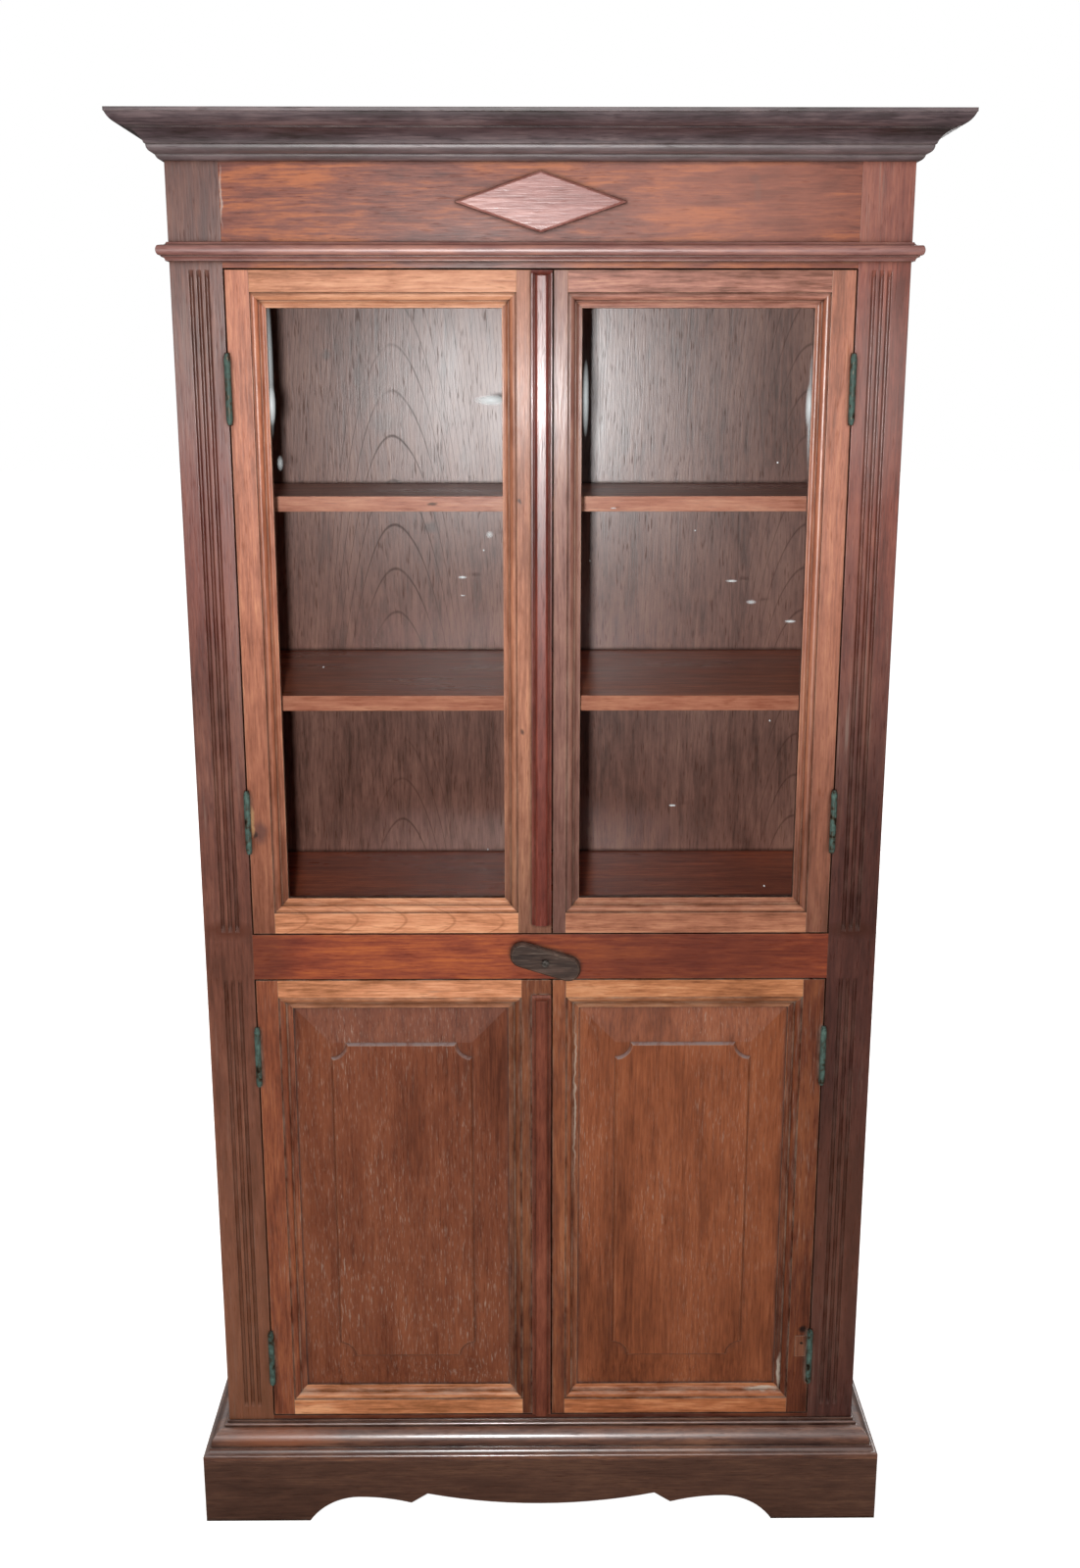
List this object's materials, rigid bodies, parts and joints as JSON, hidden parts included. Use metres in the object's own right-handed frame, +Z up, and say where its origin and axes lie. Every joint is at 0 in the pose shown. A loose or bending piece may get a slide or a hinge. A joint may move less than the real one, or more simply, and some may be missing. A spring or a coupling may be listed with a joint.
{
  "type": "glass-door cupboard",
  "caption": "Tall teak cupboard with glazed upper doors, raised-panel lower doors, fluted pilasters, moulded cornice, bracket plinth and a wooden turn button.",
  "frame": {"origin": "on the floor, below the middle of the whole outline", "axes": "+X to the right seen from the front, +Y to the back, +Z up; the doors face -Y"},
  "size_m": [1.012, 0.491, 1.908],
  "materials": {
    "dark_moulding_teak": "dark varnished teak",
    "carcass_teak": "varnished teak",
    "rail_teak": "red-brown varnished teak",
    "door_teak": "worn varnished teak",
    "panel_teak": "worn varnished teak",
    "cover_strip_teak": "red-brown varnished teak",
    "inside_teak": "oiled teak",
    "glass": "clear sheet glass",
    "aged_brass": "brass with verdigris",
    "steel": "dull steel",
    "button_wood": "bare dark hardwood"
  },
  "bodies": {
    "carcass": {"left_side_panel": "carcass_teak", "right_side_panel": "carcass_teak", "left_pilaster": "carcass_teak", "right_pilaster": "carcass_teak", "frieze_rail": "rail_teak", "middle_rail": "rail_teak", "bottom_rail": "rail_teak", "upper_shelf": "inside_teak", "middle_shelf": "inside_teak", "middle_deck": "inside_teak", "bottom_deck": "inside_teak", "back_board_left": "inside_teak", "back_board_right": "inside_teak", "top_board": "carcass_teak", "frieze_lozenge": "rail_teak", "cornice_front": "dark_moulding_teak", "cornice_returns": "dark_moulding_teak", "waist_moulding": "dark_moulding_teak", "base_moulding": "dark_moulding_teak", "plinth_front": "dark_moulding_teak", "plinth_left": "dark_moulding_teak", "plinth_right": "dark_moulding_teak", "plinth_back": "dark_moulding_teak", "plinth_corner_blocks": "inside_teak", "frame_hinge_leaves": "aged_brass", "hinge_pins": "aged_brass", "turn_button_screw": "steel", "turn_button_washer": "steel"},
    "upper_left_door": {"upper_left_hinge_stile": "door_teak", "upper_left_lock_stile": "door_teak", "upper_left_top_rail": "door_teak", "upper_left_bottom_rail": "door_teak", "upper_left_hinge_leaves": "aged_brass", "upper_left_glass": "glass", "upper_left_glazing_beads": "door_teak", "upper_left_astragal": "cover_strip_teak"},
    "upper_right_door": {"upper_right_hinge_stile": "door_teak", "upper_right_lock_stile": "door_teak", "upper_right_top_rail": "door_teak", "upper_right_bottom_rail": "door_teak", "upper_right_hinge_leaves": "aged_brass", "upper_right_glass": "glass", "upper_right_glazing_beads": "door_teak"},
    "lower_left_door": {"lower_left_hinge_stile": "door_teak", "lower_left_lock_stile": "door_teak", "lower_left_top_rail": "door_teak", "lower_left_bottom_rail": "door_teak", "lower_left_hinge_leaves": "aged_brass", "lower_left_panel": "panel_teak", "lower_left_astragal": "cover_strip_teak"},
    "lower_right_door": {"lower_right_hinge_stile": "door_teak", "lower_right_lock_stile": "door_teak", "lower_right_top_rail": "door_teak", "lower_right_bottom_rail": "door_teak", "lower_right_hinge_leaves": "aged_brass", "lower_right_panel": "panel_teak"},
    "turn_button": {"turn_button": "button_wood"}
  },
  "joints": [
    {"name": "upper_left_door_hinge", "type": "hinge", "parent": "carcass", "child": "upper_left_door", "pos_m": [-0.385, -0.192, 1.308], "axis": [0, 0, -1], "range_deg": [0, 170]},
    {"name": "upper_right_door_hinge", "type": "hinge", "parent": "carcass", "child": "upper_right_door", "pos_m": [0.385, -0.192, 1.308], "axis": [0, 0, 1], "range_deg": [0, 170]},
    {"name": "lower_left_door_hinge", "type": "hinge", "parent": "carcass", "child": "lower_left_door", "pos_m": [-0.385, -0.192, 0.4845], "axis": [0, 0, -1], "range_deg": [0, 170]},
    {"name": "lower_right_door_hinge", "type": "hinge", "parent": "carcass", "child": "lower_right_door", "pos_m": [0.385, -0.192, 0.4845], "axis": [0, 0, 1], "range_deg": [0, 170]},
    {"name": "turn_button_pivot", "type": "hinge", "parent": "carcass", "child": "turn_button", "pos_m": [0.006, -0.2, 0.846], "axis": [0, 1, 0], "continuous": true}
  ]
}
